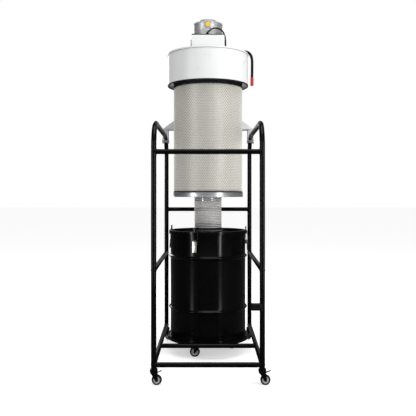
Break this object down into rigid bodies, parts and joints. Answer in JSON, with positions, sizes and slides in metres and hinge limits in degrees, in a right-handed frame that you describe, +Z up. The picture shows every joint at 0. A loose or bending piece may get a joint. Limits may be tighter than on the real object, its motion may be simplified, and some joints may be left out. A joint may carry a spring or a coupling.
{
  "type": "mobile cyclone dust collector",
  "caption": "Workshop cyclone separator with a ring filter, motor and latched waste drum, hung in a tubular stand on swivel casters.",
  "frame": {"origin": "on the floor at the centre of the stand's footprint", "axes": "+Z up, -Y to the front of the stand, +Y to the open side where the drum rolls out and the inlet faces, +X to the right seen from the front"},
  "size_m": [0.638, 1.0266, 2.117],
  "materials": {
    "black_paint": "gloss black powder coat",
    "white_paint": "gloss white powder coat",
    "grey_paint": "light grey powder coat",
    "galvanised": "bright galvanised sheet",
    "zinc": "bright zinc plate",
    "nickel": "nickel plate",
    "aluminium": "spun aluminium",
    "black_rubber": "matte black rubber",
    "tyre_rubber": "black caster tread",
    "filter_cloth": "pleated spun polyester",
    "screen_wire": "expanded steel mesh",
    "clear_hose": "clear ribbed polyurethane",
    "red_plastic": "red vinyl",
    "yellow_plastic": "yellow moulded plastic",
    "black_plastic": "black moulded plastic"
  },
  "bodies": {
    "machine": {"side_frame_left": "black_paint", "side_frame_right": "black_paint", "side_rails": "black_paint", "front_top_bar": "black_paint", "rear_cross_bar": "black_paint", "low_cross_bars": "black_paint", "mounting_beam": "grey_paint", "beam_clamps": "zinc", "plenum_shell": "white_paint", "plenum_top": "white_paint", "plenum_floor": "white_paint", "skirt_trim": "black_rubber", "inlet_spigot": "galvanised", "cyclone_body": "galvanised", "filter_media": "filter_cloth", "filter_screen": "screen_wire", "filter_seals": "black_rubber", "filter_pan": "galvanised", "waste_hose": "clear_hose", "hose_clamp": "black_plastic", "drum_lid": "black_paint", "drum_body": "black_paint", "drum_bottom": "black_paint", "dolly_ring": "black_paint", "motor_box": "white_paint", "motor_seal": "black_rubber", "motor_body": "aluminium", "motor_plug": "yellow_plastic", "box_catches": "zinc", "cable_glands": "black_rubber", "motor_cable": "black_rubber", "drop_tube": "black_rubber", "drop_tube_tip": "red_plastic", "switch_box": "black_plastic", "latch_plates": "black_paint", "caster_stems": "black_paint"},
    "swivel_front_left": {"fork_front_left": "black_paint"},
    "roller_front_left": {"wheel_front_left": "tyre_rubber"},
    "pedal_front_left": {"brake_pedal_front_left": "black_plastic"},
    "swivel_front_right": {"fork_front_right": "black_paint"},
    "roller_front_right": {"wheel_front_right": "tyre_rubber"},
    "pedal_front_right": {"brake_pedal_front_right": "black_plastic"},
    "swivel_rear_left": {"fork_rear_left": "black_paint"},
    "roller_rear_left": {"wheel_rear_left": "tyre_rubber"},
    "swivel_rear_right": {"fork_rear_right": "black_paint"},
    "roller_rear_right": {"wheel_rear_right": "tyre_rubber"},
    "swivel_dolly_1": {"fork_dolly_1": "black_paint"},
    "roller_dolly_1": {"wheel_dolly_1": "tyre_rubber"},
    "swivel_dolly_2": {"fork_dolly_2": "black_paint"},
    "roller_dolly_2": {"wheel_dolly_2": "tyre_rubber"},
    "swivel_dolly_3": {"fork_dolly_3": "black_paint"},
    "roller_dolly_3": {"wheel_dolly_3": "tyre_rubber"},
    "lever_1": {"latch_lever_1": "nickel"},
    "loop_1": {"latch_loop_1": "nickel"},
    "lever_2": {"latch_lever_2": "nickel"},
    "loop_2": {"latch_loop_2": "nickel"},
    "lever_3": {"latch_lever_3": "nickel"},
    "loop_3": {"latch_loop_3": "nickel"},
    "lever_4": {"latch_lever_4": "nickel"},
    "loop_4": {"latch_loop_4": "nickel"}
  },
  "joints": [
    {"name": "swivel_front_left", "type": "hinge", "parent": "machine", "child": "swivel_front_left", "pos_m": [-0.285, -0.4815, 0.07], "axis": [0, 0, 1], "continuous": true},
    {"name": "roll_front_left", "type": "hinge", "parent": "swivel_front_left", "child": "roller_front_left", "pos_m": [-0.269, -0.4815, 0.0275], "axis": [0, 1, 0], "continuous": true},
    {"name": "pedal_front_left", "type": "hinge", "parent": "swivel_front_left", "child": "pedal_front_left", "pos_m": [-0.27, -0.4815, 0.064], "axis": [0, 1, 0], "range_deg": [0, 14]},
    {"name": "swivel_front_right", "type": "hinge", "parent": "machine", "child": "swivel_front_right", "pos_m": [0.285, -0.4815, 0.07], "axis": [0, 0, 1], "continuous": true},
    {"name": "roll_front_right", "type": "hinge", "parent": "swivel_front_right", "child": "roller_front_right", "pos_m": [0.301, -0.4815, 0.0275], "axis": [0, 1, 0], "continuous": true},
    {"name": "pedal_front_right", "type": "hinge", "parent": "swivel_front_right", "child": "pedal_front_right", "pos_m": [0.3, -0.4815, 0.064], "axis": [0, 1, 0], "range_deg": [0, 14]},
    {"name": "swivel_rear_left", "type": "hinge", "parent": "machine", "child": "swivel_rear_left", "pos_m": [-0.285, 0.4815, 0.07], "axis": [0, 0, 1], "continuous": true},
    {"name": "roll_rear_left", "type": "hinge", "parent": "swivel_rear_left", "child": "roller_rear_left", "pos_m": [-0.269, 0.4815, 0.0275], "axis": [0, 1, 0], "continuous": true},
    {"name": "swivel_rear_right", "type": "hinge", "parent": "machine", "child": "swivel_rear_right", "pos_m": [0.285, 0.4815, 0.07], "axis": [0, 0, 1], "continuous": true},
    {"name": "roll_rear_right", "type": "hinge", "parent": "swivel_rear_right", "child": "roller_rear_right", "pos_m": [0.27824, 0.496, 0.0275], "axis": [-0.9063, -0.4226, 0], "continuous": true},
    {"name": "swivel_dolly_1", "type": "hinge", "parent": "machine", "child": "swivel_dolly_1", "pos_m": [-0.06088, 0.05523, 0.08], "axis": [0, 0, 1], "continuous": true},
    {"name": "roll_dolly_1", "type": "hinge", "parent": "swivel_dolly_1", "child": "roller_dolly_1", "pos_m": [-0.08088, 0.05523, 0.0315], "axis": [0, 1, 0], "continuous": true},
    {"name": "swivel_dolly_2", "type": "hinge", "parent": "machine", "child": "swivel_dolly_2", "pos_m": [0.1753, 0.25341, 0.08], "axis": [0, 0, 1], "continuous": true},
    {"name": "roll_dolly_2", "type": "hinge", "parent": "swivel_dolly_2", "child": "roller_dolly_2", "pos_m": [0.1553, 0.25341, 0.0315], "axis": [0, 1, 0], "continuous": true},
    {"name": "swivel_dolly_3", "type": "hinge", "parent": "machine", "child": "swivel_dolly_3", "pos_m": [-0.11442, 0.35886, 0.08], "axis": [0, 0, 1], "continuous": true},
    {"name": "roll_dolly_3", "type": "hinge", "parent": "swivel_dolly_3", "child": "roller_dolly_3", "pos_m": [-0.13442, 0.35886, 0.0315], "axis": [0, 1, 0], "continuous": true},
    {"name": "lever_1", "type": "hinge", "parent": "machine", "child": "lever_1", "pos_m": [-0.07865, -0.01954, 0.706], "axis": [-0.9511, 0.309, 0], "range_deg": [0, 94]},
    {"name": "loop_1", "type": "hinge", "parent": "lever_1", "child": "loop_1", "pos_m": [-0.07772, -0.01669, 0.693], "axis": [-0.9511, 0.309, 0], "range_deg": [-98, 4]},
    {"name": "lever_2", "type": "hinge", "parent": "machine", "child": "lever_2", "pos_m": [0.24204, 0.14386, 0.706], "axis": [-0.309, -0.9511, 0], "range_deg": [0, 94]},
    {"name": "loop_2", "type": "hinge", "parent": "lever_2", "child": "loop_2", "pos_m": [0.23919, 0.14478, 0.693], "axis": [-0.309, -0.9511, 0], "range_deg": [-98, 4]},
    {"name": "lever_3", "type": "hinge", "parent": "machine", "child": "lever_3", "pos_m": [0.07865, 0.46454, 0.706], "axis": [0.9511, -0.309, 0], "range_deg": [0, 94]},
    {"name": "loop_3", "type": "hinge", "parent": "lever_3", "child": "loop_3", "pos_m": [0.07772, 0.46169, 0.693], "axis": [0.9511, -0.309, 0], "range_deg": [-98, 4]},
    {"name": "lever_4", "type": "hinge", "parent": "machine", "child": "lever_4", "pos_m": [-0.24204, 0.30114, 0.706], "axis": [0.309, 0.9511, 0], "range_deg": [0, 94]},
    {"name": "loop_4", "type": "hinge", "parent": "lever_4", "child": "loop_4", "pos_m": [-0.23919, 0.30022, 0.693], "axis": [0.309, 0.9511, 0], "range_deg": [-98, 4]}
  ],
  "couplings": [
    {"joint": "loop_1", "follows": "lever_1", "ratio": -1},
    {"joint": "loop_2", "follows": "lever_2", "ratio": -1},
    {"joint": "loop_3", "follows": "lever_3", "ratio": -1},
    {"joint": "loop_4", "follows": "lever_4", "ratio": -1}
  ]
}
